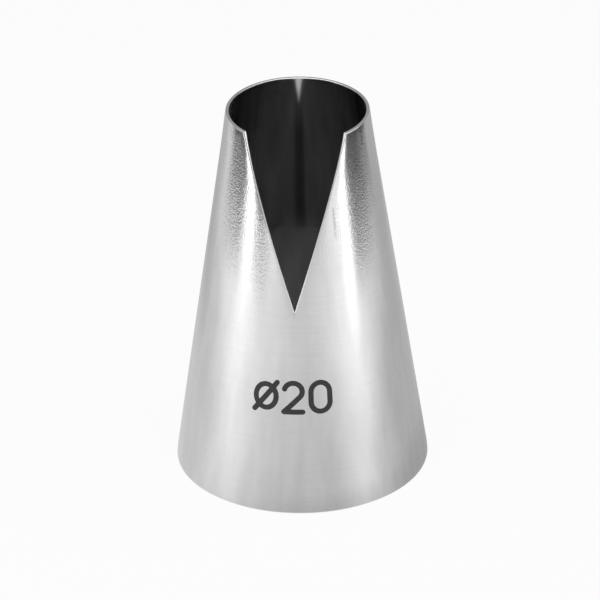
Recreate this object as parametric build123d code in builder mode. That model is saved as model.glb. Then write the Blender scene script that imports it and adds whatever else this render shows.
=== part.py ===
"""A piping nozzle: one cone of sheet stainless steel, open at both ends, with a long V notch cut down from its mouth.

The cone stands on its wide end. Z runs up its axis from the middle of the base, and the notch faces -Y. In the flat
sheet the notch is straight-sided, and it is cut square to the sheet, so on the cone its sides bow a little outwards
and its cut faces point at the axis.
"""

import os
from math import asin, atan2, cos, degrees, radians, sin

from build123d import *

# The cone, in millimetres, over the outside of the sheet and to its corners before they are smoothed
base_diameter = 36.0
mouth_diameter = 20.0
height = 55.0
wall = 0.5

# The radius that smooths the sheet's corners at the base and at the mouth
edge_round = 0.12

# The notch: its depth down the axis, and the angle in degrees between its two sides in the flat sheet
notch_depth = 25.0
notch_angle = 33.8
notch_foot_width = 0.1

# The notch's sides are lofted through this many level sections
notch_sections = 9

# How far the notch's cutter runs past the sheet
overrun = 1.0

base_radius = base_diameter / 2
mouth_radius = mouth_diameter / 2
taper = atan2(base_radius - mouth_radius, height)
wall_across = wall / cos(taper)
notch_foot = height - notch_depth


def outside_radius(z):
    """Radius of the cone's outside at a height."""
    return base_radius + (mouth_radius - base_radius) * z / height


def distance_to_point(z):
    """Distance along the sheet from a height up to where the cone would come to a point."""
    return outside_radius(z) / sin(taper)


def notch_half_angle(z):
    """Angle round the axis, in radians, from the middle of the notch to its side at a height.

    In the flat sheet the side is a straight line that leaves the foot at half the notch's angle. An angle round the
    axis is the flat sheet's angle about the cone's point, divided by the sine of the taper.
    """
    lean = radians(notch_angle / 2)
    angle_in_sheet = asin(distance_to_point(notch_foot) * sin(lean) / distance_to_point(z)) - lean
    foot_allowance = notch_foot_width / 2 / outside_radius(z)
    return angle_in_sheet / sin(taper) + foot_allowance


# The notch's cutter: a wedge from the axis outwards that opens from the foot of the V to above the mouth
with BuildPart() as notch_cutter:
    for section in range(notch_sections):
        z = notch_foot + (notch_depth + overrun) * section / (notch_sections - 1)
        half_angle = notch_half_angle(z)
        reach = (outside_radius(z) + overrun) / cos(half_angle)
        with BuildSketch(Plane.XY.offset(z)):
            with BuildLine():
                Polyline(
                    (0, 0),
                    (reach * sin(half_angle), -reach * cos(half_angle)),
                    (-reach * sin(half_angle), -reach * cos(half_angle)),
                    close=True,
                )
            make_face()
    loft()

# The cone of sheet: its sloping section turned once round the axis, with the notch cut out of the front
with BuildPart() as nozzle_cone:
    with BuildSketch(Plane.XZ):
        with BuildLine():
            Polyline(
                (base_radius, 0),
                (mouth_radius, height),
                (mouth_radius - wall_across, height),
                (base_radius - wall_across, 0),
                close=True,
            )
        make_face()
        fillet(vertices(), edge_round)
    revolve(axis=Axis.Z)
    add(notch_cutter.part, mode=Mode.SUBTRACT)

nozzle_cone.part.label = "nozzle_cone"

os.makedirs("parts", exist_ok=True)
export_step(nozzle_cone.part, "parts/nozzle_cone.step")

mouth_spread = 2 * degrees(notch_half_angle(height))
print(f"taper {degrees(taper):.2f} degrees, notch opens {mouth_spread:.1f} degrees round the mouth")
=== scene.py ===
"""A stainless steel piping nozzle on a pale floor: a cone of thin sheet with a long V notch and a size mark.

The sheet is cut out flat, then rolled into a cone, as the real one is. Lengths are in metres where nothing
else is said.
"""

from math import asin, atan2, cos, pi, radians, sin

import bpy
from mathutils import Matrix, Vector, geometry


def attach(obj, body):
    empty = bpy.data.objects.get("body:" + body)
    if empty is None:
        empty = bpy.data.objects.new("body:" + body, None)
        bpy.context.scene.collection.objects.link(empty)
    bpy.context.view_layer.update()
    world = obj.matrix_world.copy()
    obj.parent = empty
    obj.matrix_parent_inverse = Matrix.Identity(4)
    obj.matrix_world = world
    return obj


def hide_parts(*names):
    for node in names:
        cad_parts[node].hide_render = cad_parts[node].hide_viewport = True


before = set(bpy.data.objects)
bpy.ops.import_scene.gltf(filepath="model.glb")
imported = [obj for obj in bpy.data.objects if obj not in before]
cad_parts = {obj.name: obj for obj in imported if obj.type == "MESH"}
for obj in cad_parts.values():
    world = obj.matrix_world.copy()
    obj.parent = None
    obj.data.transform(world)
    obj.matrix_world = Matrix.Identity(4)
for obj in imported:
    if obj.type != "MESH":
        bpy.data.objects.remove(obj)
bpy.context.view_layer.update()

MM = 0.001

# The cone, over the outside of the sheet, as the solid model has it
BASE_RADIUS = 18.0 * MM
MOUTH_RADIUS = 10.0 * MM
HEIGHT = 55.0 * MM
WALL = 0.5 * MM
EDGE_ROUND = 0.12 * MM
NOTCH_DEPTH = 25.0 * MM
NOTCH_HALF_ANGLE = radians(16.9)

# The forming tool leaves the mouth very slightly flared, over its last stretch
FLARE_LENGTH = 8.0 * MM
FLARE = 0.10 * MM

# Shearing draws the outer face down a little beside each cut, and less at the mouth. The cut's own finish,
# with its painted highlight, reaches round its corners
DIE_ROLL_WIDTH = 1.1 * MM
DIE_ROLL_DEPTH = 0.055 * MM
MOUTH_ROLL_DEPTH = 0.020 * MM
CUT_REACH = 0.10 * MM

# The flat sheet: distances are measured from the point that the cone would have
TAPER = atan2(BASE_RADIUS - MOUTH_RADIUS, HEIGHT)
BASE_SLANT = BASE_RADIUS / sin(TAPER)
MOUTH_SLANT = MOUTH_RADIUS / sin(TAPER)
FOOT_SLANT = BASE_SLANT - (HEIGHT - NOTCH_DEPTH) / cos(TAPER)
SHEET_SPREAD = 2 * pi * sin(TAPER)

# How finely the sheet is divided, and how near to each other vertices are joined
COLUMNS_AROUND = 264
ROW_STEP = 0.7 * MM
ROUND_STEPS = 4
BESIDE_CUTS = (0.2 * MM, 0.4 * MM, 0.65 * MM, 0.9 * MM, 1.15 * MM)
TOUCHING = 0.0001 * MM

# The camera stands where the photograph's did. Its angles are in radians, its sensor and lens in millimetres
CAMERA_DISTANCE = 950.4 * MM
CAMERA_AZIMUTH = radians(3.51)
CAMERA_ELEVATION = 0.5050
CAMERA_ROLL = -0.0145
CAMERA_TARGET = Vector((-0.043, 0.0, 24.54)) * MM
CAMERA_SENSOR = 36.0
CAMERA_LENS = 402.2
CAMERA_NEAR = 50.0 * MM

# Short names for the kinds of node that are used most
MATHS = "ShaderNodeMath"
VECTOR = "ShaderNodeVectorMath"
JOINED = "ShaderNodeCombineXYZ"
PARTED = "ShaderNodeSeparateXYZ"
RANGE = "ShaderNodeMapRange"
NOISE = "ShaderNodeTexNoise"
SCALING = "ShaderNodeMapping"
MIX = "ShaderNodeMixRGB"
BUMP = "ShaderNodeBump"
METAL = "ShaderNodeBsdfPrincipled"
SOFT = "SMOOTHSTEP"


def linear(hex_colour):
    """An sRGB hex colour as the linear colour, with alpha, that shaders take."""
    channels = [int(hex_colour[i : i + 2], 16) / 255 for i in (1, 3, 5)]
    return [c / 12.92 if c <= 0.04045 else ((c + 0.055) / 1.055) ** 2.4 for c in channels] + [1.0]


def add_node(tree, kind, inputs=(), captures=None, **settings):
    """Adds a node with its settings and links. Inputs go by name or in order.

    Each is a value, another node or its output, or a tuple of nodes for an input that takes several. The
    captures are the fields that a Capture Attribute node keeps, as a type for each name.
    """
    node = tree.nodes.new(kind)
    for name, value in settings.items():
        setattr(node, name, value)
    for name, field_type in (captures or {}).items():
        node.capture_items.new(field_type, name)
    for place, value in inputs.items() if isinstance(inputs, dict) else enumerate(inputs):
        sources = value if isinstance(value, tuple) else (value,)
        for source in sources:
            if isinstance(source, bpy.types.Node):
                source = source.outputs[0]
            if isinstance(source, bpy.types.NodeSocket):
                tree.links.new(source, node.inputs[place])
            else:
                node.inputs[place].default_value = value
    return node


def new_material(name):
    """An empty material and its node tree."""
    material = bpy.data.materials.new(name)
    material.use_nodes = True
    material.node_tree.nodes.clear()
    return material, material.node_tree


# The flat blank

def notch_angle_at(slant):
    """Angle in the flat sheet, about the cone's point, from the middle of the notch to its straight side."""
    if slant >= FOOT_SLANT:
        return 0.0
    return asin(FOOT_SLANT * sin(NOTCH_HALF_ANGLE) / slant) - NOTCH_HALF_ANGLE


def side_slope_at(slant):
    """Angle between the notch's side and the line to the cone's point, at this distance from that point."""
    return asin(FOOT_SLANT * sin(NOTCH_HALF_ANGLE) / min(slant, FOOT_SLANT))


def flat_place(slant, angle):
    """A place on the flat sheet, with the cone's point at the origin and the middle of the notch along -Y."""
    return Vector((slant * sin(angle), -slant * cos(angle), 0))


def gaps_beside_cut():
    """Distances from a cut edge at which the sheet is divided, so that its rounding has even steps."""
    turns = [pi / 2 * step / ROUND_STEPS for step in range(ROUND_STEPS + 1)]
    return [EDGE_ROUND * (1 - cos(turn)) for turn in turns] + list(BESIDE_CUTS)


def evenly(start, stop, step):
    """Values between two ends, without the ends, about a step apart."""
    count = max(1, round(abs(stop - start) / step))
    return [start + (stop - start) * i / count for i in range(1, count)]


def row_slants():
    """The rows of the sheet from the base to the mouth, closest at the edges and at the notch's foot."""
    gaps = gaps_beside_cut()
    base = [BASE_SLANT - gap for gap in gaps]
    below_foot = [FOOT_SLANT + gap for gap in reversed(gaps)]
    above_foot = [FOOT_SLANT - gap for gap in gaps[1:]]
    mouth = [MOUTH_SLANT + gap for gap in reversed(gaps)]
    lower = evenly(base[-1], below_foot[0], ROW_STEP)
    upper = evenly(above_foot[-1], mouth[0], ROW_STEP)
    return base + lower + below_foot + above_foot + upper + mouth


def column_angles(slant):
    """The angles at which one row is divided, from one side of the notch round the sheet to the other."""
    edge = notch_angle_at(slant)
    nearest = [edge + gap / cos(side_slope_at(slant)) / slant for gap in gaps_beside_cut()]
    half = nearest + [
        nearest[-1] + (SHEET_SPREAD / 2 - nearest[-1]) * i / (COLUMNS_AROUND / 2)
        for i in range(1, COLUMNS_AROUND // 2 + 1)
    ]
    return half + [SHEET_SPREAD - angle for angle in reversed(half[:-1])]


def gap_to_edge(slant, angle):
    """Distance in the flat sheet from a place to the nearest cut edge: the base, the mouth or the notch."""
    angle = min(angle, SHEET_SPREAD - angle)
    side = Vector((sin(NOTCH_HALF_ANGLE), cos(NOTCH_HALF_ANGLE), 0))
    offset = flat_place(slant, angle) - flat_place(FOOT_SLANT, 0)
    to_notch = (offset - side * max(0.0, offset.dot(side))).length
    return max(0.0, min(BASE_SLANT - slant, slant - MOUTH_SLANT, to_notch))


def flat_blank():
    """The sheet laid out flat, with its distance to the nearest cut edge at each vertex."""
    places, gaps, faces = [], [], []
    rows = row_slants()
    width = len(column_angles(BASE_SLANT))
    for slant in rows:
        for angle in column_angles(slant):
            places.append(flat_place(slant, angle))
            gaps.append(gap_to_edge(slant, angle))
    for row in range(len(rows) - 1):
        for column in range(width - 1):
            corner = row * width + column
            faces.append((corner, corner + 1, corner + width + 1, corner + width))
    mesh = bpy.data.meshes.new("flat_blank")
    mesh.from_pydata(places, [], faces)
    mesh.attributes.new("gap", "FLOAT", "POINT").data.foreach_set("value", gaps)
    return mesh


# The size mark: the mouth's diameter in millimetres, in front below the notch

MARK_UP = 17.6 * MM
MARK_THICKNESS = 0.020 * MM
MARK_PROUD = 0.010 * MM

# The mark's strokes, and the cells that they are cut from, in millimetres on the flat sheet. Figures are
# measured over the middle of their strokes
STROKE = 0.76
CELL = 0.12
MARK_REACH = (6.6, 2.8)
FIGURE_HALF = 2.17
RING_MIDDLE, RING_ACROSS, RING_HIGH = -4.15, 1.48, 1.78
SLASH_ACROSS = 1.60
TWO_MIDDLE, TWO_ACROSS, TWO_HIGH, TWO_FOOT = -0.25, 1.28, 1.24, 1.30
TWO_TURNS = (165, -38)
NOUGHT_MIDDLE, NOUGHT_ACROSS, NOUGHT_HIGH = 3.60, 1.34, 1.42
BOW_STEPS = 24


def bow(x, y, across, high, start, stop):
    """Points in millimetres along part of an ellipse, between two angles in degrees."""
    turns = [radians(start + (stop - start) * step / BOW_STEPS) for step in range(BOW_STEPS + 1)]
    return [Vector((x + across * cos(turn), y + high * sin(turn))) for turn in turns]


def mark_strokes():
    """The middle lines of a diameter sign, a 2 and a 0, in millimetres from the middle of the mark."""
    ring = bow(RING_MIDDLE, 0.0, RING_ACROSS, RING_HIGH, 0, 360)
    slash = [Vector((RING_MIDDLE + side * SLASH_ACROSS, side * FIGURE_HALF)) for side in (-1, 1)]
    two = bow(TWO_MIDDLE, FIGURE_HALF - TWO_HIGH, TWO_ACROSS, TWO_HIGH, *TWO_TURNS)
    two += [Vector((TWO_MIDDLE + side * TWO_FOOT, -FIGURE_HALF)) for side in (-1, 1)]
    bend = FIGURE_HALF - NOUGHT_HIGH
    nought = bow(NOUGHT_MIDDLE, bend, NOUGHT_ACROSS, NOUGHT_HIGH, 0, 180)
    nought += bow(NOUGHT_MIDDLE, -bend, NOUGHT_ACROSS, NOUGHT_HIGH, 180, 360)
    nought.append(nought[0])
    return ring, slash, two, nought


def to_segment(place, start, end):
    """Distance from a place to a straight piece of line."""
    foot, share = geometry.intersect_point_line(place, start, end)
    if 0 < share < 1:
        return (place - foot).length
    return min((place - start).length, (place - end).length)


def to_strokes(place, strokes):
    """Distance from a place to the nearest stroke's edge, below zero inside the stroke."""
    middle = min(to_segment(place, *ends) for stroke in strokes for ends in zip(stroke, stroke[1:]))
    return middle - STROKE / 2


def flat_mark():
    """The mark's strokes as a flat mesh of small cells, cut along the strokes' edges."""
    strokes = mark_strokes()
    columns, rows = (round(2 * reach / CELL) for reach in MARK_REACH)
    grid = {
        (column, row): Vector((column * CELL - MARK_REACH[0], row * CELL - MARK_REACH[1]))
        for column in range(columns + 1)
        for row in range(rows + 1)
    }
    depth = {key: to_strokes(place, strokes) for key, place in grid.items()}
    numbers, places, faces = {}, [], []

    def number(here, there):
        """The number of the vertex at a grid point, or where a stroke's edge crosses between two of them."""
        key = tuple(sorted((here, there)))
        if key not in numbers:
            share = depth[key[0]] / (depth[key[0]] - depth[key[1]]) if here != there else 0.0
            spot = grid[key[0]].lerp(grid[key[1]], share) * MM
            numbers[key] = len(places)
            places.append(flat_place(BASE_SLANT - MARK_UP - spot.y, spot.x / (BASE_SLANT - MARK_UP)))
        return numbers[key]

    for column in range(columns):
        for row in range(rows):
            corners = [(column, row), (column + 1, row), (column + 1, row + 1), (column, row + 1)]
            outline = []
            for here, there in zip(corners, corners[1:] + corners[:1]):
                if depth[here] < 0:
                    outline.append(number(here, here))
                if (depth[here] < 0) != (depth[there] < 0):
                    outline.append(number(here, there))
            if len(outline) > 2:
                faces.append(outline)
    mesh = bpy.data.meshes.new("flat_mark")
    mesh.from_pydata(places, [], faces)
    return mesh


# Rolling a flat sheet into the cone

ROLL_SIZES = {
    "Taper": TAPER,
    "Base Slant": BASE_SLANT,
    "Mouth Slant": MOUTH_SLANT,
    "Thickness": WALL,
    "Raise": 0.0,
    "Edge Round": EDGE_ROUND,
    "Die Roll Width": DIE_ROLL_WIDTH,
    "Die Roll Depth": DIE_ROLL_DEPTH,
    "Mouth Roll Depth": MOUTH_ROLL_DEPTH,
    "Cut Reach": CUT_REACH,
    "Flare Length": FLARE_LENGTH,
    "Flare": FLARE,
}
FINISHES = ("Inside", "Outside", "Cut Edge")


def rolling_tree():
    """Geometry nodes that roll a flat sheet into the cone and give it its thickness and rounded edges."""
    tree = bpy.data.node_groups.new("roll_into_cone", "GeometryNodeTree")
    sockets = tree.interface
    sockets.new_socket("Geometry", in_out="INPUT", socket_type="NodeSocketGeometry")
    for name, value in ROLL_SIZES.items():
        sockets.new_socket(name, in_out="INPUT", socket_type="NodeSocketFloat").default_value = value
    for name in FINISHES:
        sockets.new_socket(name, in_out="INPUT", socket_type="NodeSocketMaterial")
    sockets.new_socket("Geometry", in_out="OUTPUT", socket_type="NodeSocketGeometry")
    given = add_node(tree, "NodeGroupInput").outputs

    # The place on the flat sheet, as a distance and an angle about the cone's point
    flat = add_node(tree, "GeometryNodeInputPosition")
    flat_xyz = add_node(tree, PARTED, [flat]).outputs
    slant = add_node(tree, VECTOR, [flat], operation="LENGTH").outputs["Value"]
    to_front = add_node(tree, MATHS, [flat_xyz["Y"], -1.0], operation="MULTIPLY")
    angle = add_node(tree, MATHS, [flat_xyz["X"], to_front], operation="ARCTAN2")
    up_sheet = add_node(tree, MATHS, [given["Base Slant"], slant], operation="SUBTRACT")

    # The same place on the cone, and the level way out from it
    sine = add_node(tree, MATHS, [given["Taper"]], operation="SINE")
    cosine = add_node(tree, MATHS, [given["Taper"]], operation="COSINE")
    turn = add_node(tree, MATHS, [angle, sine], operation="DIVIDE")
    across = add_node(tree, MATHS, [turn], operation="SINE")
    back = add_node(tree, MATHS, [turn], operation="COSINE")
    ahead = add_node(tree, MATHS, [back, -1.0], operation="MULTIPLY")
    outward = add_node(tree, JOINED, [across, ahead, 0.0])
    radius = add_node(tree, MATHS, [slant, sine], operation="MULTIPLY")
    height = add_node(tree, MATHS, [up_sheet, cosine], operation="MULTIPLY")
    in_plan = add_node(tree, VECTOR, {0: outward, "Scale": radius}, operation="SCALE")
    lifted = add_node(tree, JOINED, [0.0, 0.0, height])
    rolled = add_node(tree, VECTOR, [in_plan, lifted], operation="ADD")

    # How far both skins are drawn in where a cut edge is rounded
    gap = add_node(tree, "GeometryNodeInputNamedAttribute", ["gap"])
    short = add_node(tree, MATHS, [given["Edge Round"], gap], operation="SUBTRACT", use_clamp=True)
    short_squared = add_node(tree, MATHS, [short, 2.0], operation="POWER")
    round_squared = add_node(tree, MATHS, [given["Edge Round"], 2.0], operation="POWER")
    reach_squared = add_node(tree, MATHS, [round_squared, short_squared], operation="SUBTRACT")
    reach = add_node(tree, MATHS, [reach_squared], operation="SQRT")
    rounded = add_node(tree, MATHS, [given["Edge Round"], reach], operation="SUBTRACT")

    # How far the outer skin is drawn down beside a cut, and how far the whole sheet flares towards the mouth
    beside = add_node(tree, MATHS, [gap, given["Die Roll Width"]], operation="DIVIDE")
    nearness = add_node(tree, MATHS, [1.0, beside], operation="SUBTRACT", use_clamp=True)
    nearness_squared = add_node(tree, MATHS, [nearness, 2.0], operation="POWER")
    from_mouth = add_node(tree, MATHS, [slant, given["Mouth Slant"]], operation="SUBTRACT")
    depths = [given["Mouth Roll Depth"], given["Die Roll Depth"]]
    roll_depth = add_node(tree, RANGE, [from_mouth, 0.0, given["Die Roll Width"], *depths])
    drawn_down = add_node(tree, MATHS, [nearness_squared, roll_depth], operation="MULTIPLY")
    share = add_node(tree, MATHS, [from_mouth, given["Flare Length"]], operation="DIVIDE")
    upper = add_node(tree, MATHS, [1.0, share], operation="SUBTRACT", use_clamp=True)
    upper_squared = add_node(tree, MATHS, [upper, 2.0], operation="POWER")
    raised = [upper_squared, given["Flare"], given["Raise"]]
    raised_to = add_node(tree, MATHS, raised, operation="MULTIPLY_ADD")

    # Where each skin lies, square to the sheet and then measured level
    outer_in = add_node(tree, MATHS, [rounded, drawn_down], operation="ADD")
    outer_gap = add_node(tree, MATHS, [raised_to, outer_in], operation="SUBTRACT")
    inner_face = add_node(tree, MATHS, [raised_to, given["Thickness"]], operation="SUBTRACT")
    inner_gap = add_node(tree, MATHS, [inner_face, rounded], operation="ADD")
    outer_step = add_node(tree, MATHS, [outer_gap, cosine], operation="DIVIDE")
    inner_step = add_node(tree, MATHS, [inner_gap, cosine], operation="DIVIDE")

    # The place on the sheet in metres, which the grain of the metal follows
    round_sheet = add_node(tree, MATHS, [angle, slant], operation="MULTIPLY")
    sheet_uv = add_node(tree, JOINED, [round_sheet, up_sheet, 0.0])
    mapped = add_node(
        tree, "GeometryNodeStoreNamedAttribute",
        {"Geometry": given["Geometry"], "Name": "flat_sheet", "Value": sheet_uv},
        data_type="FLOAT2", domain="CORNER",
    )
    kept = add_node(
        tree, "GeometryNodeCaptureAttribute",
        {"Geometry": mapped, "rolled": rolled, "outward": outward, "outer": outer_step, "inner": inner_step},
        captures={"rolled": "VECTOR", "outward": "VECTOR", "outer": "FLOAT", "inner": "FLOAT"},
    ).outputs

    # The inner skin is closed into a cone, and the outer skin is raised from it
    inner_offset = add_node(tree, VECTOR, {0: kept["outward"], "Scale": kept["inner"]}, operation="SCALE")
    inner_place = add_node(tree, VECTOR, [kept["rolled"], inner_offset], operation="ADD")
    outer_offset = add_node(tree, VECTOR, {0: kept["outward"], "Scale": kept["outer"]}, operation="SCALE")
    outer_place = add_node(tree, VECTOR, [kept["rolled"], outer_offset], operation="ADD")
    inner = add_node(tree, "GeometryNodeSetPosition", {"Geometry": kept["Geometry"], "Position": inner_place})
    closed = add_node(tree, "GeometryNodeMergeByDistance", {"Geometry": inner, "Distance": TOUCHING})
    sheet = add_node(
        tree, "GeometryNodeExtrudeMesh",
        {"Mesh": closed, "Offset": kept["outward"], "Offset Scale": given["Thickness"], "Individual": False},
        mode="FACES",
    ).outputs
    outer = add_node(
        tree, "GeometryNodeSetPosition",
        {"Geometry": sheet["Mesh"], "Selection": sheet["Top"], "Position": outer_place},
    )
    lining = add_node(tree, "GeometryNodeFlipFaces", {"Mesh": closed})
    skins = add_node(tree, "GeometryNodeJoinGeometry", [(outer, lining)])
    whole = add_node(tree, "GeometryNodeMergeByDistance", {"Geometry": skins, "Distance": TOUCHING})
    smooth = add_node(tree, "GeometryNodeSetShadeSmooth", {"Geometry": whole})

    # The finishes: the lining everywhere, then the outside, then the cut and the corners beside it, which
    # carry the cut's painted highlight
    real = add_node(tree, "GeometryNodeRealizeInstances", {"Geometry": smooth})
    corner = {"A": gap, "B": given["Cut Reach"]}
    at_corner = add_node(tree, "FunctionNodeCompare", corner, operation="LESS_THAN")
    sheared = add_node(tree, "FunctionNodeBooleanMath", [sheet["Side"], at_corner], operation="OR")
    lined = add_node(tree, "GeometryNodeSetMaterial", {"Geometry": real, "Material": given["Inside"]})
    clad = add_node(
        tree, "GeometryNodeSetMaterial",
        {"Geometry": lined, "Selection": sheet["Top"], "Material": given["Outside"]},
    )
    finished = add_node(
        tree, "GeometryNodeSetMaterial",
        {"Geometry": clad, "Selection": sheared, "Material": given["Cut Edge"]},
    )
    add_node(tree, "NodeGroupOutput", {"Geometry": finished})
    return tree


def roll(flat_mesh, name, tree, **sizes):
    """Rolls a flat mesh into the cone and returns it as a plain mesh object."""
    flat = bpy.data.objects.new(name, flat_mesh)
    bpy.context.scene.collection.objects.link(flat)
    modifier = flat.modifiers.new("roll", "NODES")
    modifier.node_group = tree
    identifiers = {item.name: item.identifier for item in tree.interface.items_tree if item.in_out == "INPUT"}
    for size, value in sizes.items():
        modifier[identifiers[size.replace("_", " ")]] = value
    bpy.context.view_layer.update()
    evaluated = flat.evaluated_get(bpy.context.evaluated_depsgraph_get())
    rolled = bpy.data.meshes.new_from_object(evaluated)
    flat.modifiers.remove(modifier)
    flat.data = rolled
    rolled.name = name
    return flat


# Materials

# A noise's values lie mostly between these
NOISE_SPAN = (0.3, 0.7)


def spots(sizes):
    """The scale that gives noise spots of these sizes in millimetres."""
    return [1 / (size * MM) for size in sizes]


# The satin steel's patterns, as sizes of their spots in millimetres. Real grain and grit scratches are about
# 0.02 mm wide: these are drawn 0.22 to 0.28 mm wide, so that they show
GRAIN_SPOTS = (0.22, 0.22, 0.28)
GRIT_SPOTS = (9.0, 9.0, 0.25)
CLOUD_SPOTS = (2.4, 2.4, 14.0)
PATCH_SPOTS = (5.0, 5.0, 7.0)

# The satin steel's relief, and the shares of it: full in front, less at the mouth and on the right of the
# notch, faint low down and behind. Heights, and azimuths in degrees from the notch, say where it changes
SATIN_RELIEF = 0.028 * MM
GRIT_SHARE = 0.06
FAINT_SHARE = 0.12
MOUTH_SHARE = 0.6
RIGHT_SHARE = 0.8
GRAIN_STARTS = (26.0 * MM, 40.0 * MM)
GRAIN_EASES = (46.0 * MM, 52.0 * MM)
GRAIN_CALMS = (22.0, 38.0)
GRAIN_FADES = (62.0, 95.0)

# Specks from handling, in degrees from the notch, the heights at which they set in, and the grain that shows
# them
SPECKED = (
    {"azimuth": -46.5, "core": 4.5, "reach": 10.0, "amount": 0.30},
    {"azimuth": -25.5, "core": 1.5, "reach": 5.0, "amount": 0.30},
    {"azimuth": 50.0, "core": 6.0, "reach": 11.0, "amount": 0.16},
)
SPECKS_START = (32.0 * MM, 41.0 * MM)
SPECK_GRAIN = (0.38, 0.68)

# Upright dark streaks, in degrees from the notch: a hairline scratch right of the notch, painted shade in a
# streak just under the mouth's rim on the right, and a fainter, wider darkening just under the rim on the
# left.
# Then a nick close to the notch's left side, and how the grain breaks them
DARK_STREAKS = (
    {"azimuth": 28.0, "half_width": 1.6, "foot": 40.0 * MM, "top": 45.5 * MM, "depth": 0.60},
    # Painted shade: a dark streak just under the mouth's rim on the right
    {"azimuth": 62.5, "half_width": 2.6, "foot": 51.4 * MM, "top": 55.2 * MM, "depth": 0.60},
    # Darker just under the rim on the left
    {"azimuth": -61.0, "half_width": 6.0, "foot": 52.4 * MM, "top": 55.4 * MM, "depth": 0.30},
)
STREAK_FADE = 1.2 * MM
NICK_GAP = 0.20 * MM
NICK_REACH = 0.12 * MM
NICK_FOOT, NICK_TOP = 41.0 * MM, 48.0 * MM
STREAK_GRAIN = (0.35, 0.6)
STREAK_SHARES = (0.1, 0.7)

# Steel worn bright beside the cuts, and dull patches that gather towards the mouth
WORN_REACH = (0.05 * MM, 0.22 * MM)
WORN_ROUGHER = 0.12
DULL_HEIGHTS = (HEIGHT - 6.0 * MM, HEIGHT - 1.0 * MM)
DULL_SHARES = (0.04, 0.3)
DULL_EDGE = (0.48, 0.62)
DULL_GRAIN = (0.44, 0.60)

# The belt's polish: how its lines show in the colour, how rough it is, and how far it draws reflections out
GRIT_EDGE = (0.4, 0.65)
GRIT_TINT = 0.15
SATIN_ROUGHNESS = (0.155, 0.18)
DRAWN_OUT = 0.5
QUARTER_TURN = 0.25


def satin_relief(tree, up, azimuth, grain, lines):
    """The grain over the belt's lines, as a bump."""
    front = add_node(tree, RANGE, [up, *GRAIN_EASES, 1.0, MOUTH_SHARE], interpolation_type=SOFT)
    front = add_node(tree, RANGE, [up, *GRAIN_STARTS, FAINT_SHARE, front], interpolation_type=SOFT)
    calm_edges = [radians(angle) for angle in GRAIN_CALMS]
    calm = add_node(tree, RANGE, [azimuth, *calm_edges, 1.0, RIGHT_SHARE], interpolation_type=SOFT)
    front = add_node(tree, MATHS, [front, calm], operation="MULTIPLY")
    from_notch = add_node(tree, MATHS, [azimuth], operation="ABSOLUTE")
    fade_edges = [radians(angle) for angle in GRAIN_FADES]
    share = add_node(tree, RANGE, [from_notch, *fade_edges, front, FAINT_SHARE], interpolation_type=SOFT)
    height = add_node(tree, MATHS, [grain, share], operation="MULTIPLY")
    height = add_node(tree, MATHS, [lines, GRIT_SHARE, height], operation="MULTIPLY_ADD")
    return add_node(tree, BUMP, {"Strength": 1.0, "Distance": SATIN_RELIEF, "Height": height})


def handling_specks(tree, up, azimuth, grain):
    """How strongly dark specks show on both sides of the notch."""
    specked = 0.0
    upper_part = add_node(tree, RANGE, [up, *SPECKS_START, 0.0, 1.0], interpolation_type=SOFT)
    for patch in SPECKED:
        from_patch = add_node(tree, MATHS, [azimuth, radians(patch["azimuth"])], operation="SUBTRACT")
        aside = add_node(tree, MATHS, [from_patch], operation="ABSOLUTE")
        across = [aside, radians(patch["core"]), radians(patch["reach"]), patch["amount"], 0.0]
        here = add_node(tree, RANGE, across, interpolation_type=SOFT)
        specked = add_node(tree, MATHS, [here, upper_part, specked], operation="MULTIPLY_ADD")
    return add_node(tree, RANGE, [grain, *SPECK_GRAIN, 0.0, specked], interpolation_type=SOFT)


def streaks_rim_shade_and_nick(tree, up, azimuth, gap, grain):
    """How strongly the dark streaks show, a hairline scratch and painted shade under the rim among them, and
    the dark nick beside the notch's left side.
    """
    darkened = 0.0
    for streak in DARK_STREAKS:
        from_line = add_node(tree, MATHS, [azimuth, radians(streak["azimuth"])], operation="SUBTRACT")
        aside = add_node(tree, MATHS, [from_line], operation="ABSOLUTE")
        above = [up, streak["foot"], streak["foot"] + STREAK_FADE, 0.0, streak["depth"]]
        above = add_node(tree, RANGE, above, interpolation_type=SOFT)
        below = [up, streak["top"] - STREAK_FADE, streak["top"], above, 0.0]
        along = add_node(tree, RANGE, below, interpolation_type=SOFT)
        across = [aside, 0.0, radians(streak["half_width"]), along, 0.0]
        line = add_node(tree, RANGE, across, interpolation_type=SOFT)
        darkened = add_node(tree, MATHS, [darkened, line], operation="ADD")
    from_nick = add_node(tree, MATHS, [gap, NICK_GAP], operation="SUBTRACT")
    aside = add_node(tree, MATHS, [from_nick], operation="ABSOLUTE")
    left = add_node(tree, MATHS, [azimuth, 0.0], operation="LESS_THAN")
    above = [up, NICK_FOOT, NICK_FOOT + STREAK_FADE, 0.0, left]
    above = add_node(tree, RANGE, above, interpolation_type=SOFT)
    below = [up, NICK_TOP - STREAK_FADE, NICK_TOP, above, 0.0]
    along = add_node(tree, RANGE, below, interpolation_type=SOFT)
    nick = add_node(tree, RANGE, [aside, 0.0, NICK_REACH, along, 0.0], interpolation_type=SOFT)
    darkened = add_node(tree, MATHS, [darkened, nick], operation="ADD", use_clamp=True)
    broken = add_node(tree, RANGE, [grain, *STREAK_GRAIN, *STREAK_SHARES], interpolation_type=SOFT)
    return add_node(tree, MATHS, [darkened, broken], operation="MULTIPLY")


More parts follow.
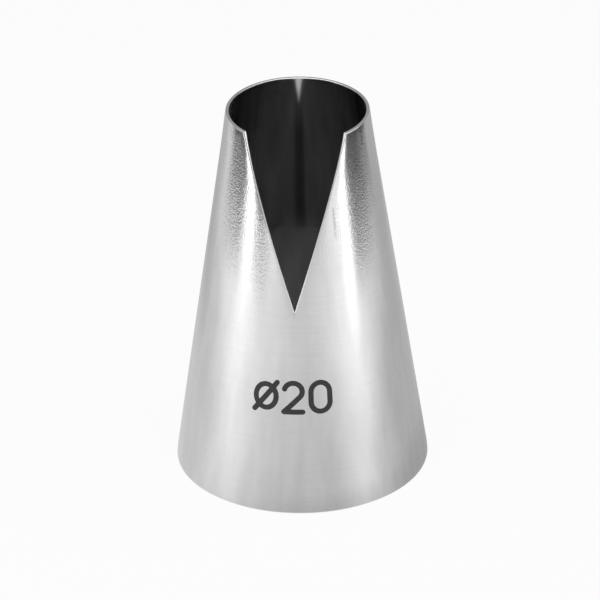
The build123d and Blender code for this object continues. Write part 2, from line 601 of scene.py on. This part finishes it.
def satin_steel():
    """Stainless steel sheet, polished round the cone with a belt and left satin.

    The belt's grit leaves short scratches that lie round the cone. They draw reflections out into soft
    upright bands. Handling has left a fine grain in front towards the mouth, so that the bands' borders break
    up there. It has left dark specks on both sides of the notch, dull patches under the mouth, and an upright
    hairline right of the notch. Painted shade darkens a streak just under the mouth's rim on the right, and
    the steel is a little darker just under the rim on the left. The steel is bright where its edges were
    tumbled.
    """
    material, tree = new_material("satin_polished_stainless_steel")
    place = add_node(tree, "ShaderNodeTexCoord").outputs["Object"]
    xyz = add_node(tree, PARTED, [place]).outputs
    up = xyz["Z"]
    ahead = add_node(tree, MATHS, [xyz["Y"], -1.0], operation="MULTIPLY")
    azimuth = add_node(tree, MATHS, [xyz["X"], ahead], operation="ARCTAN2")
    gap = add_node(tree, "ShaderNodeAttribute", attribute_name="gap").outputs["Fac"]

    grain_place = add_node(tree, SCALING, {"Vector": place, "Scale": spots(GRAIN_SPOTS)})
    grain = add_node(tree, NOISE, {"Vector": grain_place, "Scale": 1.0, "Detail": 1.5, "Roughness": 0.6})
    line_place = add_node(tree, SCALING, {"Vector": place, "Scale": spots(GRIT_SPOTS)})
    lines = add_node(tree, NOISE, {"Vector": line_place, "Scale": 1.0, "Detail": 2.0})
    cloud_place = add_node(tree, SCALING, {"Vector": place, "Scale": spots(CLOUD_SPOTS)})
    clouds = add_node(tree, NOISE, {"Vector": cloud_place, "Scale": 1.0, "Detail": 2.0})
    patch_place = add_node(tree, SCALING, {"Vector": place, "Scale": spots(PATCH_SPOTS)})
    patches = add_node(tree, NOISE, {"Vector": patch_place, "Scale": 1.0, "Detail": 2.0})

    relief = satin_relief(tree, up, azimuth, grain, lines)
    speck = handling_specks(tree, up, azimuth, grain)
    scratch_and_shade = streaks_rim_shade_and_nick(tree, up, azimuth, gap, grain)
    worn = add_node(tree, RANGE, [gap, *WORN_REACH, 1.0, 0.0], interpolation_type=SOFT)
    near_mouth = add_node(tree, RANGE, [up, *DULL_HEIGHTS, *DULL_SHARES], interpolation_type=SOFT)
    dull_patch = add_node(tree, RANGE, [patches, *DULL_EDGE, 0.0, near_mouth], interpolation_type=SOFT)
    dull_grain = add_node(tree, RANGE, [grain, *DULL_GRAIN, 0.0, dull_patch], interpolation_type=SOFT)
    cloudy = add_node(tree, RANGE, [clouds, *NOISE_SPAN, 0.0, 1.0], interpolation_type=SOFT)
    lined = add_node(tree, RANGE, [lines, *GRIT_EDGE, 0.0, GRIT_TINT], interpolation_type=SOFT)
    colour = add_node(tree, MIX, [cloudy, linear("#CCCCCD"), linear("#D5D5D6")])
    colour = add_node(tree, MIX, [lined, colour, linear("#C4C4C5")])
    colour = add_node(tree, MIX, [dull_grain, colour, linear("#8C8C8D")])
    colour = add_node(tree, MIX, [speck, colour, linear("#808081")])
    colour = add_node(tree, MIX, [worn, colour, linear("#E6E6E6")])
    # Painted shade in part: the dark streaks hold painted shade just under the mouth's rim on the right
    colour = add_node(tree, MIX, [scratch_and_shade, colour, linear("#606061")])
    polish = add_node(tree, RANGE, [clouds, *NOISE_SPAN, *SATIN_ROUGHNESS], interpolation_type=SOFT)
    rough = add_node(tree, MATHS, [worn, WORN_ROUGHER, polish], operation="MULTIPLY_ADD")
    tangent = add_node(tree, "ShaderNodeTangent", direction_type="UV_MAP", uv_map="flat_sheet")
    shader = add_node(
        tree, METAL,
        {
            "Base Color": colour,
            "Metallic": 1.0,
            "Roughness": rough,
            "Anisotropic": DRAWN_OUT,
            "Anisotropic Rotation": QUARTER_TURN,
            "Tangent": tangent,
            "Normal": relief,
        },
    )
    add_node(tree, "ShaderNodeOutputMaterial", {"Surface": shader})
    return material


# The lining's patterns, as sizes of their spots in millimetres. Tool lines are about 0.1 mm apart: these are
# drawn 0.5 mm apart, so that they show
TOOL_SPOTS = (12.0, 12.0, 0.5)
HAZE_SPOTS = (3.0, 3.0, 16.0)
LINING_RELIEF = 0.002 * MM
LINING_ROUGHNESS = (0.09, 0.13)

# The darker line up the back of the lining, a painted reflection of shade, and the duller sides, in degrees
# from the back. The line's half widths are from its own middle
LINE_AZIMUTH = -2.6
LINE_HALF_WIDTHS = (1.4, 5.2)
LINE_FOOT = (27.5 * MM, 31.5 * MM)
LINE_TOP = (44.0 * MM, 57.0 * MM)
SCUFFED = (50.0, 85.0)
SCUFFED_ROUGHER = 0.22


def smooth_steel():
    """The mill finish that the sheet keeps inside, drawn smooth over the forming tool.

    It mirrors the dark bore softly, with faint lines that lie round the cone where the tool turned. Its sides
    are scuffed duller. Its colour is a little darker than the outside's, partly for the duller finish and
    partly as painted shade for the dark bore. A darker line runs up the back, as the photograph shows it: a
    painted reflection of shade.
    """
    material, tree = new_material("mill_finish_steel_with_painted_shade")
    place = add_node(tree, "ShaderNodeTexCoord").outputs["Object"]
    xyz = add_node(tree, PARTED, [place]).outputs
    line_place = add_node(tree, SCALING, {"Vector": place, "Scale": spots(TOOL_SPOTS)})
    lines = add_node(tree, NOISE, {"Vector": line_place, "Scale": 1.0, "Detail": 2.0})
    haze_place = add_node(tree, SCALING, {"Vector": place, "Scale": spots(HAZE_SPOTS)})
    haze = add_node(tree, NOISE, {"Vector": haze_place, "Scale": 1.0, "Detail": 2.0})
    relief = add_node(tree, BUMP, {"Strength": 1.0, "Distance": LINING_RELIEF, "Height": lines})

    azimuth = add_node(tree, MATHS, [xyz["X"], xyz["Y"]], operation="ARCTAN2")
    from_line = add_node(tree, MATHS, [azimuth, radians(LINE_AZIMUTH)], operation="SUBTRACT")
    aside = add_node(tree, MATHS, [from_line], operation="ABSOLUTE")
    below_top = add_node(tree, RANGE, [xyz["Z"], *LINE_TOP, 1.0, 0.0], interpolation_type=SOFT)
    along = add_node(tree, RANGE, [xyz["Z"], *LINE_FOOT, 0.0, below_top], interpolation_type=SOFT)
    edges = [radians(half_width) for half_width in LINE_HALF_WIDTHS]
    line = add_node(tree, RANGE, [aside, *edges, along, 0.0], interpolation_type=SOFT)
    hazy = add_node(tree, RANGE, [haze, *NOISE_SPAN, 0.0, 1.0], interpolation_type=SOFT)
    # Painted shade in part: the lining is a little darker than the outside, for the dark bore as well as the
    # duller finish
    colour = add_node(tree, MIX, [hazy, linear("#B6B6B7"), linear("#C8C8C9")])
    # Painted reflection of shade: the darker line up the back
    colour = add_node(tree, MIX, [line, colour, linear("#808081")])
    from_back = add_node(tree, MATHS, [azimuth], operation="ABSOLUTE")
    edges = [radians(angle) for angle in SCUFFED]
    scuffed = add_node(tree, RANGE, [from_back, *edges, 0.0, SCUFFED_ROUGHER], interpolation_type=SOFT)
    smooth = add_node(tree, RANGE, [lines, *NOISE_SPAN, *LINING_ROUGHNESS], interpolation_type=SOFT)
    rough = add_node(tree, MATHS, [smooth, scuffed], operation="ADD")
    shader = add_node(
        tree, METAL, {"Base Color": colour, "Metallic": 1.0, "Roughness": rough, "Normal": relief},
    )
    add_node(tree, "ShaderNodeOutputMaterial", {"Surface": shader})
    return material


# Tumbling leaves pits of about 0.02 mm: these are drawn 0.15 mm wide, so that they show
PIT_SPOTS = (0.15, 0.15, 0.15)
PIT_RELIEF = 0.006 * MM
CUT_ROUGHNESS = (0.12, 0.18)


def cut_steel():
    """The sheared edge of the sheet, tumbled until it is smooth to the touch.

    Its flat is a soft mirror and its rounded corners take thin lines of light. Its colour is painted near
    white, far paler than steel: a painted highlight on the cut and its corners.
    """
    material, tree = new_material("tumbled_edge_steel_with_painted_highlight")
    place = add_node(tree, "ShaderNodeTexCoord").outputs["Object"]
    pit_place = add_node(tree, SCALING, {"Vector": place, "Scale": spots(PIT_SPOTS)})
    pits = add_node(tree, NOISE, {"Vector": pit_place, "Scale": 1.0, "Detail": 3.0})
    relief = add_node(tree, BUMP, {"Strength": 1.0, "Distance": PIT_RELIEF, "Height": pits})
    pitted = add_node(tree, RANGE, [pits, *NOISE_SPAN, 0.0, 1.0], interpolation_type=SOFT)
    # Painted highlight: the cut's colour is near white, paler than steel, so that the cut and its corners
    # show as lines of light
    colour = add_node(tree, MIX, [pitted, linear("#F2F2F2"), linear("#FCFCFC")])
    rough = add_node(tree, RANGE, [pits, *NOISE_SPAN, *CUT_ROUGHNESS], interpolation_type=SOFT)
    shader = add_node(
        tree, METAL, {"Base Color": colour, "Metallic": 1.0, "Roughness": rough, "Normal": relief},
    )
    add_node(tree, "ShaderNodeOutputMaterial", {"Surface": shader})
    return material


# The beam's lines are about 0.05 mm apart: these are drawn 0.3 mm apart, so that they show
PASS_SPOTS = (2.0, 2.0, 0.3)
PASS_RELIEF = 0.004 * MM
OXIDE_ROUGHNESS = (0.5, 0.65)


def marked_steel():
    """The dark oxide that a marking laser grows on stainless steel.

    It is matt and almost black, with faint lines where the beam passed to and fro.
    """
    material, tree = new_material("laser_marked_oxide")
    place = add_node(tree, "ShaderNodeTexCoord").outputs["Object"]
    pass_place = add_node(tree, SCALING, {"Vector": place, "Scale": spots(PASS_SPOTS)})
    passes = add_node(tree, NOISE, {"Vector": pass_place, "Scale": 1.0, "Detail": 2.0})
    relief = add_node(tree, BUMP, {"Strength": 1.0, "Distance": PASS_RELIEF, "Height": passes})
    passed = add_node(tree, RANGE, [passes, *NOISE_SPAN, 0.0, 1.0], interpolation_type=SOFT)
    colour = add_node(tree, MIX, [passed, linear("#2C2C2E"), linear("#3A3A3B")])
    rough = add_node(tree, RANGE, [passes, *NOISE_SPAN, *OXIDE_ROUGHNESS], interpolation_type=SOFT)
    shader = add_node(tree, METAL, {"Base Color": colour, "Roughness": rough, "Normal": relief})
    add_node(tree, "ShaderNodeOutputMaterial", {"Surface": shader})
    return material


# The stage. Azimuths and spreads are in degrees round the nozzle from the camera's side, positive to the
# right

# The painted lanes of light on the table, which brighten and widen away from the nozzle's foot
LANES = (
    {"azimuth": -73.5, "foot_spread": 25.0, "far_spread": 62.0, "foot_glow": 0.24, "far_glow": 0.74},
    {"azimuth": 62.0, "foot_spread": 25.0, "far_spread": 57.0, "foot_glow": 0.42, "far_glow": 0.80},
)
LANE_APEX = 10.0 * MM
LANE_BRIGHTENS = (BASE_RADIUS, 120.0 * MM)
LANE_WIDENS = (45.0 * MM, 150.0 * MM)
LANE_FALL = -2.0

# The parts of the table's painted glow farther out that are dimmer by a share, or brighter where the share is
# below zero. The distances between which each sets in are in millimetres
TABLE_PARTS = (
    {"azimuth": -94.0, "half_width": 22.5, "edge": 5.0, "sets_in": (110.0, 134.0), "dims": -0.15},
    {"azimuth": -94.0, "half_width": 22.5, "edge": 5.0, "sets_in": (142.0, 155.0), "dims": 0.95},
    {"azimuth": 90.0, "half_width": 18.5, "edge": 5.0, "sets_in": (106.0, 126.0), "dims": -0.14},
    {"azimuth": 89.0, "half_width": 18.5, "edge": 5.0, "sets_in": (134.0, 145.0), "dims": 0.94},
    {"azimuth": 82.0, "half_width": 12.0, "edge": 5.0, "sets_in": (180.0, 200.0), "dims": -0.3},
    {"azimuth": 114.0, "half_width": 9.5, "edge": 3.5, "sets_in": (140.0, 154.0), "dims": 0.95},
    {"azimuth": -48.5, "half_width": 8.5, "edge": 5.0, "sets_in": (120.0, 150.0), "dims": -0.10},
    {"azimuth": -48.5, "half_width": 8.5, "edge": 5.0, "sets_in": (172.0, 184.0), "dims": 0.87},
    {"azimuth": 53.0, "half_width": 5.0, "edge": 5.0, "sets_in": (178.0, 198.0), "dims": 0.35},
    {"azimuth": 12.0, "half_width": 26.0, "edge": 14.0, "sets_in": (75.0, 115.0), "dims": 0.13},
    {"azimuth": 146.0, "half_width": 26.0, "edge": 12.0, "sets_in": (75.0, 115.0), "dims": 0.20},
    {"azimuth": -154.0, "half_width": 22.0, "edge": 12.0, "sets_in": (45.0, 105.0), "dims": 0.22},
)

# The table's even painted glow, what it gains in front and on the left, and its share round the nozzle's foot
# and where the nozzle touches it, a painted contact shadow. A span runs across the table from the left, and a
# reach runs outwards
FLOOR_GLOW = 0.70
FRONT_GAIN = 0.09
LEFT_GAIN = 0.06
FOOT_SPAN = (-45.0 * MM, 0.0 * MM)
FOOT_GLOWS = (1.20, 0.97)
FOOT_REACH = 95.0 * MM
CONTACT_SPAN = (-22.0 * MM, 8.0 * MM)
CONTACT_GLOWS = (1.05, 0.8)
CONTACT_REACH = 14.0 * MM

# The floor, just below the nozzle, and how much of its white the camera sees before its shadows
FLOOR_SIZE = 2.0
FLOOR_DROP = 0.02 * MM
FLOOR_WHITE = 0.93

# The side lamps, as a name, the azimuths of both edges, the foot and the top
LAMP_FOOT = 8.0 * MM
LAMP_TOP = 120.0 * MM
SIDE_LAMPS = (
    ("left_lamp_foot", -72.6, -65.5, 0.0, LAMP_FOOT),
    ("left_lamp", -75.0, -59.0, LAMP_FOOT, LAMP_TOP),
    ("right_lamp_foot", 53.0, 64.5, 0.0, LAMP_FOOT),
    ("right_lamp", 57.5, 64.5, LAMP_FOOT, LAMP_TOP),
)
LAMP_DISTANCE = 152.0 * MM
LAMP_GLOW = 1.42

# The fills farther out, as a name, an azimuth and a glow, then the lamp overhead and the world
FILL_LAMPS = (("left_fill", -90.0, 0.6), ("right_fill", 90.0, 1.0))
FILL_DISTANCE = 500.0 * MM
FILL_WIDTH = 300.0 * MM
FILL_HEIGHT = 240.0 * MM
FILL_FOOT = 2.0 * MM
TOP_LAMP_SIZE = 0.8
TOP_LAMP_AHEAD = 0.20
TOP_LAMP_HEIGHT = 0.5
TOP_LAMP_GLOW = 1.15
WORLD_GLOW = 0.3


def around(azimuth, distance, height):
    """A place on the stage, by its azimuth in degrees from the camera's side."""
    turned = radians(azimuth) + CAMERA_AZIMUTH
    return Vector((distance * sin(turned), -distance * cos(turned), height))


def table_glow(tree, place, distance):
    """The painted glow of the lit table that the metal sees: light and shade painted into the floor.

    It has a lane of light towards each side lamp, and parts farther out that are dimmer or brighter. Round
    the nozzle's foot it has more light on the left and less on the right. Its azimuths are taken about a
    point a little in front of the nozzle's axis.
    """
    xyz = add_node(tree, PARTED, [place]).outputs
    ahead = add_node(tree, MATHS, [xyz["Y"], -1.0, -LANE_APEX], operation="MULTIPLY_ADD")
    azimuth = add_node(tree, MATHS, [xyz["X"], ahead], operation="ARCTAN2")

    # An even glow, a little stronger in front and to the left
    front = add_node(tree, MATHS, [azimuth], operation="COSINE")
    right = add_node(tree, MATHS, [azimuth], operation="SINE")
    glow = add_node(tree, MATHS, [front, FRONT_GAIN, FLOOR_GLOW], operation="MULTIPLY_ADD")
    glow = add_node(tree, MATHS, [right, -LEFT_GAIN, glow], operation="MULTIPLY_ADD")

    # The lanes
    for lane in LANES:
        spreads = [distance, *LANE_WIDENS, radians(lane["foot_spread"]), radians(lane["far_spread"])]
        spread = add_node(tree, RANGE, spreads, interpolation_type=SOFT)
        from_lane = add_node(tree, MATHS, [azimuth, radians(lane["azimuth"])], operation="SUBTRACT")
        aside = add_node(tree, MATHS, [from_lane, spread], operation="DIVIDE")
        squared = add_node(tree, MATHS, [aside, aside, 1.0], operation="MULTIPLY_ADD")
        fall = add_node(tree, MATHS, [squared, LANE_FALL], operation="POWER")
        rise = [distance, *LANE_BRIGHTENS, lane["foot_glow"], lane["far_glow"]]
        middle = add_node(tree, RANGE, rise, interpolation_type=SOFT)
        glow = add_node(tree, MATHS, [fall, middle, glow], operation="MULTIPLY_ADD")

    # The dimmer and brighter parts farther out
    for part in TABLE_PARTS:
        from_part = add_node(tree, MATHS, [azimuth, radians(part["azimuth"])], operation="SUBTRACT")
        aside = add_node(tree, MATHS, [from_part], operation="ABSOLUTE")
        edges = [radians(part["half_width"] + step) for step in (-part["edge"], part["edge"])]
        within = add_node(tree, RANGE, [aside, *edges, part["dims"], 0.0], interpolation_type=SOFT)
        ends = [reach * MM for reach in part["sets_in"]]
        dark = add_node(tree, RANGE, [distance, *ends, 0.0, within], interpolation_type=SOFT)
        left_over = add_node(tree, MATHS, [1.0, dark], operation="SUBTRACT")
        glow = add_node(tree, MATHS, [glow, left_over], operation="MULTIPLY")

    # More light round the nozzle's foot to the left, and less to the right and where it touches the table
    foot_glow = add_node(tree, RANGE, [xyz["X"], *FOOT_SPAN, *FOOT_GLOWS], interpolation_type=SOFT)
    foot = [distance, BASE_RADIUS, FOOT_REACH, foot_glow, 1.0]
    foot = add_node(tree, RANGE, foot, interpolation_type=SOFT)
    glow = add_node(tree, MATHS, [glow, foot], operation="MULTIPLY")
    contact_glow = add_node(tree, RANGE, [xyz["X"], *CONTACT_SPAN, *CONTACT_GLOWS], interpolation_type=SOFT)
    contact = [distance, BASE_RADIUS, BASE_RADIUS + CONTACT_REACH, contact_glow, 1.0]
    contact = add_node(tree, RANGE, contact, interpolation_type=SOFT)
    return add_node(tree, MATHS, [glow, contact], operation="MULTIPLY")


def pale_floor():
    """White paper, shown white to the camera while it keeps a little of the nozzle's shadow.

    The metal sees it as a lit table, a painted glow of light and shade, except within the nozzle's base,
    where it is plain paper.
    """
    material, tree = new_material("white_paper")
    place = add_node(tree, "ShaderNodeTexCoord").outputs["Object"]
    distance = add_node(tree, VECTOR, [place], operation="LENGTH").outputs["Value"]
    glow = table_glow(tree, place, distance)
    paper = add_node(tree, "ShaderNodeBsdfDiffuse", {"Color": linear("#E6E6E6")})
    lit = add_node(tree, "ShaderNodeEmission", {"Strength": glow})
    white = add_node(tree, "ShaderNodeEmission", {"Strength": 1.0})
    rays = add_node(tree, "ShaderNodeLightPath").outputs
    outside = add_node(tree, MATHS, [distance, BASE_RADIUS - WALL / 2], operation="GREATER_THAN")
    mirrored = add_node(tree, MATHS, [rays["Is Glossy Ray"], outside], operation="MULTIPLY")
    seen = add_node(tree, MATHS, [rays["Is Camera Ray"], FLOOR_WHITE], operation="MULTIPLY")
    mixed = add_node(tree, "ShaderNodeMixShader", [mirrored, paper, lit])
    mixed = add_node(tree, "ShaderNodeMixShader", [seen, mixed, white])
    add_node(tree, "ShaderNodeOutputMaterial", {"Surface": mixed})
    return material


def floor():
    """The level floor, turned with the camera."""
    half = FLOOR_SIZE / 2
    corners = [(-half, -half, 0), (half, -half, 0), (half, half, 0), (-half, half, 0)]
    mesh = bpy.data.meshes.new("floor")
    mesh.from_pydata(corners, [], [(0, 1, 2, 3)])
    mesh.materials.append(pale_floor())
    board = bpy.data.objects.new("floor", mesh)
    bpy.context.scene.collection.objects.link(board)
    board.location = (0, 0, -FLOOR_DROP)
    board.rotation_euler = (0, 0, CAMERA_AZIMUTH)


def softbox(name, width, height, centre, facing, glow):
    """A soft lamp of a given size and brightness. The metal sees it, and the camera doesn't."""
    lamp = bpy.data.lights.new(name, "AREA")
    lamp.shape = "RECTANGLE"
    lamp.size = width
    lamp.size_y = height
    lamp.energy = glow * width * height * pi
    box = bpy.data.objects.new(name, lamp)
    bpy.context.scene.collection.objects.link(box)
    box.location = centre
    box.rotation_euler = (Vector(facing) - Vector(centre)).to_track_quat("-Z", "Y").to_euler()
    box.visible_camera = False


def side_lamp(name, start, stop, foot, top):
    """An upright soft lamp that spans a range of azimuths and of heights."""
    width = 2 * LAMP_DISTANCE * sin(radians(stop - start) / 2)
    middle = (foot + top) / 2
    centre = around((start + stop) / 2, LAMP_DISTANCE, middle)
    softbox(name, width, top - foot, centre, (0, 0, middle), LAMP_GLOW)


def studio_light():
    """A narrow lamp and a wide fill on each side, a wide lamp overhead and in front, and a grey world."""
    for name, start, stop, foot, top in SIDE_LAMPS:
        side_lamp(name, start, stop, foot, top)
    middle = FILL_FOOT + FILL_HEIGHT / 2
    for name, azimuth, glow in FILL_LAMPS:
        softbox(name, FILL_WIDTH, FILL_HEIGHT, around(azimuth, FILL_DISTANCE, middle), (0, 0, middle), glow)
    above = around(0, TOP_LAMP_AHEAD, TOP_LAMP_HEIGHT)
    softbox("top_lamp", TOP_LAMP_SIZE, TOP_LAMP_SIZE, above, (above.x, above.y, 0), TOP_LAMP_GLOW)
    world = bpy.data.worlds.new("studio")
    bpy.context.scene.world = world
    world.use_nodes = True
    sky = world.node_tree.nodes["Background"].inputs
    sky["Color"].default_value = (1, 1, 1, 1)
    sky["Strength"].default_value = WORLD_GLOW


def place_camera():
    """The camera, at the photograph's distance, height, turn and tilt."""
    turn = Matrix.Rotation(CAMERA_AZIMUTH, 3, "Z")
    ahead = Vector((0, cos(CAMERA_ELEVATION), -sin(CAMERA_ELEVATION)))
    right = Vector((1, 0, 0))
    up = right.cross(ahead)
    rolled_right = right * cos(CAMERA_ROLL) + up * sin(CAMERA_ROLL)
    rolled_up = up * cos(CAMERA_ROLL) - right * sin(CAMERA_ROLL)
    camera = bpy.data.cameras.new("camera")
    camera.lens = CAMERA_LENS
    camera.sensor_width = CAMERA_SENSOR
    camera.clip_start = CAMERA_NEAR
    holder = bpy.data.objects.new("camera", camera)
    bpy.context.scene.collection.objects.link(holder)
    matrix = Matrix([turn @ v for v in (rolled_right, rolled_up, -ahead)]).transposed().to_4x4()
    matrix.translation = turn @ (CAMERA_TARGET - ahead * CAMERA_DISTANCE)
    holder.matrix_world = matrix
    bpy.context.scene.camera = holder


place_camera()
rolling = rolling_tree()
shell = roll(
    flat_blank(), "nozzle_shell", rolling,
    Outside=satin_steel(), Inside=smooth_steel(), Cut_Edge=cut_steel(),
)
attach(shell, "root")
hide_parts("nozzle_cone")

oxide = marked_steel()
size_mark = roll(
    flat_mark(), "size_mark", rolling,
    Thickness=MARK_THICKNESS, Raise=MARK_PROUD, Edge_Round=0.0, Die_Roll_Depth=0.0,
    Outside=oxide, Inside=oxide, Cut_Edge=oxide,
)
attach(size_mark, "root")

floor()
studio_light()
bpy.context.scene.view_settings.view_transform = "Standard"
